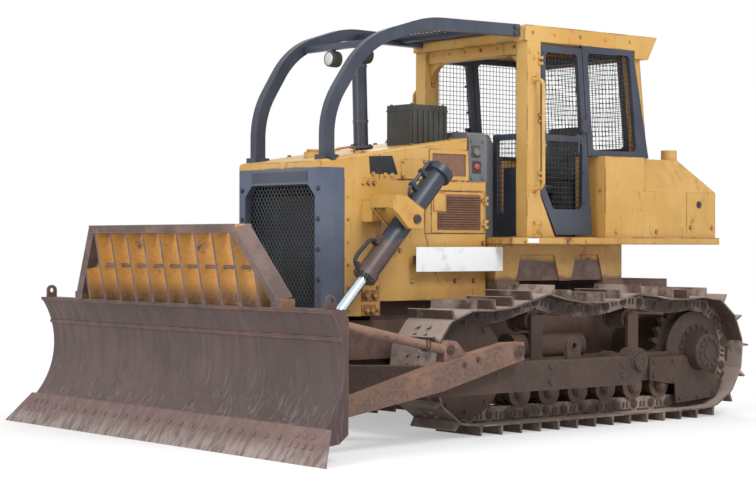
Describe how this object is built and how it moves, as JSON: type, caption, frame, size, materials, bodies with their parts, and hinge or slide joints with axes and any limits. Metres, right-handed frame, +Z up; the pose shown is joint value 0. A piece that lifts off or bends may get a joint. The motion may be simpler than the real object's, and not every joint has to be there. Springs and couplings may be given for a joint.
{
  "type": "bulldozer",
  "caption": "Crawler bulldozer with an angle blade on a C-frame, a trash rack, a roll-over cab, limb guards and hinged doors.",
  "frame": {"origin": "the ground, midway between the drawbar's end and the blade's edge, on the machine's middle", "axes": "+X forward to the blade, +Y to the machine's left, +Z up"},
  "size_m": [5.565, 4.2662, 3.238],
  "materials": {
    "yellow_paint": "weathered machine yellow, chipped and dusty",
    "guard_paint": "dark blue-grey paint, worn",
    "undercarriage_steel": "dry earth over dark steel",
    "blade_steel": "worn paint, dark rust",
    "edge_steel": "ground bright in streaks",
    "cylinder_paint": "dark paint, oil stained",
    "chrome_rod": "bright",
    "engine_paint": "satin",
    "exhaust_steel": "heat-blued rust",
    "cleaner_plastic": "faded",
    "console_plastic": "matte",
    "seat_vinyl": "soft sheen",
    "cowl_paint": "dull light grey, dusty",
    "lamp_housing": "satin"
  },
  "bodies": {
    "chassis": {"cab_front": "guard_paint", "cab_header": "yellow_paint", "cab_posts": "yellow_paint", "cab_rear": "guard_paint", "cab_side_left": "guard_paint", "cab_side_right": "guard_paint", "console": "console_plastic", "control_levers": "console_plastic", "cowl": "cowl_paint", "cross_bars": "guard_paint", "cylinder_yokes": "yellow_paint", "deck": "yellow_paint", "deck_supports": "yellow_paint", "drawbar": "undercarriage_steel", "engine_block": "engine_paint", "equalizer_bar": "undercarriage_steel", "exhaust_stack": "exhaust_steel", "fender_left": "yellow_paint", "fender_right": "yellow_paint", "final_drive_left": "yellow_paint", "final_drive_right": "yellow_paint", "fuel_tank": "yellow_paint", "grab_handles": "yellow_paint", "hood": "yellow_paint", "main_frame": "yellow_paint", "pre_cleaner": "cleaner_plastic", "radiator_grille": "guard_paint", "radiator_guard": "guard_paint", "rollers_left": "undercarriage_steel", "rollers_right": "undercarriage_steel", "roof": "yellow_paint", "seat_back": "seat_vinyl", "seat_base": "console_plastic", "seat_cushion": "seat_vinyl", "side_panel_left": "yellow_paint", "side_panel_right": "yellow_paint", "sweep_guard_left": "guard_paint", "sweep_guard_right": "guard_paint", "track_frame_left": "yellow_paint", "track_frame_right": "yellow_paint", "track_left": "undercarriage_steel", "track_right": "undercarriage_steel", "work_lamps": "lamp_housing"},
    "blade": {"c_frame": "yellow_paint", "moldboard": "blade_steel", "cutting_edge": "edge_steel", "lifting_eyes": "blade_steel", "trash_rack": "yellow_paint", "brace_left": "yellow_paint", "brace_right": "yellow_paint"},
    "lift_barrel_left": {"lift_barrel_left": "cylinder_paint"},
    "lift_rod_left": {"lift_rod_left": "chrome_rod"},
    "cab_door_left": {"cab_door_left": "guard_paint"},
    "engine_door_left": {"engine_door_left": "yellow_paint"},
    "lift_barrel_right": {"lift_barrel_right": "cylinder_paint"},
    "lift_rod_right": {"lift_rod_right": "chrome_rod"},
    "cab_door_right": {"cab_door_right": "guard_paint"},
    "engine_door_right": {"engine_door_right": "yellow_paint"}
  },
  "joints": [
    {"name": "blade_lift", "type": "hinge", "parent": "chassis", "child": "blade", "pos_m": [-0.8645, 0, 0.522], "axis": [0, -1, 0], "range_deg": [-7, 16]},
    {"name": "lift_barrel_left", "type": "hinge", "parent": "chassis", "child": "lift_barrel_left", "pos_m": [0.9675, 0.8, 1.64], "axis": [0, -1, 0], "range_deg": [-11.4, 25.9]},
    {"name": "lift_rod_left", "type": "slide", "parent": "lift_barrel_left", "child": "lift_rod_left", "axis": [0.682, 0, -0.7313], "range_m": [-0.54, 0.237]},
    {"name": "cab_door_left", "type": "hinge", "parent": "chassis", "child": "cab_door_left", "pos_m": [-0.5765, 0.702, 2.3], "axis": [0, 0, -1], "range_deg": [0, 90]},
    {"name": "engine_door_left", "type": "hinge", "parent": "chassis", "child": "engine_door_left", "pos_m": [-0.1, 0.54, 1.7], "axis": [0, 0, 1], "range_deg": [0, 90]},
    {"name": "lift_barrel_right", "type": "hinge", "parent": "chassis", "child": "lift_barrel_right", "pos_m": [0.9675, -0.8, 1.64], "axis": [0, -1, 0], "range_deg": [-11.4, 25.9]},
    {"name": "lift_rod_right", "type": "slide", "parent": "lift_barrel_right", "child": "lift_rod_right", "axis": [0.682, 0, -0.7313], "range_m": [-0.54, 0.237]},
    {"name": "cab_door_right", "type": "hinge", "parent": "chassis", "child": "cab_door_right", "pos_m": [-0.5765, -0.702, 2.3], "axis": [0, 0, 1], "range_deg": [0, 90]},
    {"name": "engine_door_right", "type": "hinge", "parent": "chassis", "child": "engine_door_right", "pos_m": [-0.1, -0.54, 1.7], "axis": [0, 0, -1], "range_deg": [0, 90]}
  ],
  "couplings": [
    {"joint": "lift_barrel_left", "follows": "blade_lift", "ratio": 1.617},
    {"joint": "lift_rod_left", "follows": "blade_lift", "m_per_rad": -1.93},
    {"joint": "lift_barrel_right", "follows": "blade_lift", "ratio": 1.617},
    {"joint": "lift_rod_right", "follows": "blade_lift", "m_per_rad": -1.93}
  ]
}
